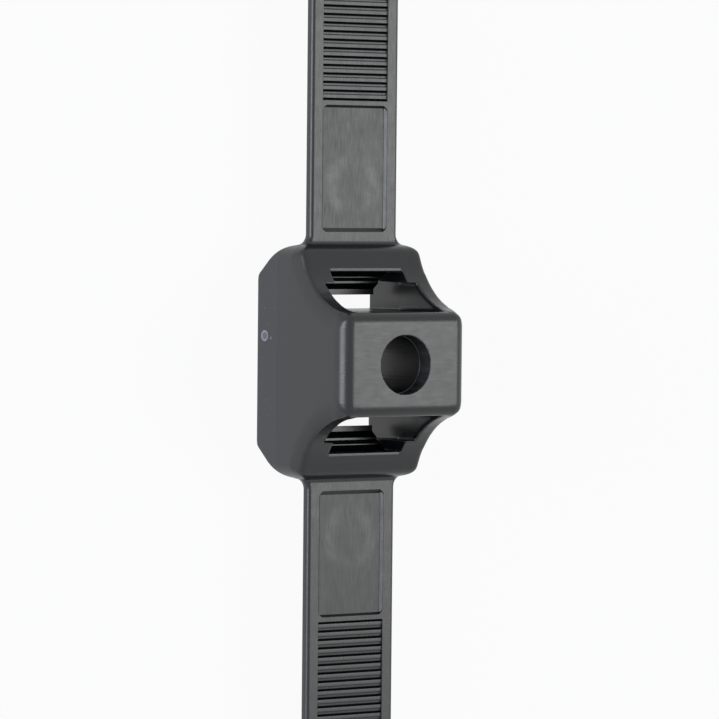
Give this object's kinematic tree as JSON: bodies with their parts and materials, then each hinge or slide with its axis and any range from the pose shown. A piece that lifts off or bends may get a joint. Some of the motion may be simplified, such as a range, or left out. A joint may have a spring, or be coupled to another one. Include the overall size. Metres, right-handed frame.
{
  "type": "double loop cable tie",
  "caption": "Moulded nylon double loop cable tie: a bolt-on head with a saddle, slot and toothed pawl at each end, and a ladder strap running out each way.",
  "frame": {"origin": "bolt hole axis at the head's flat back face", "axes": "+Z along the bolt hole from the back face to the boss face, +Y along the straps, +X across the head"},
  "size_m": [0.0202, 0.36, 0.0219],
  "materials": {
    "nylon": "satin"
  },
  "bodies": {
    "root": {"double_loop_tie": "nylon"}
  },
  "joints": []
}
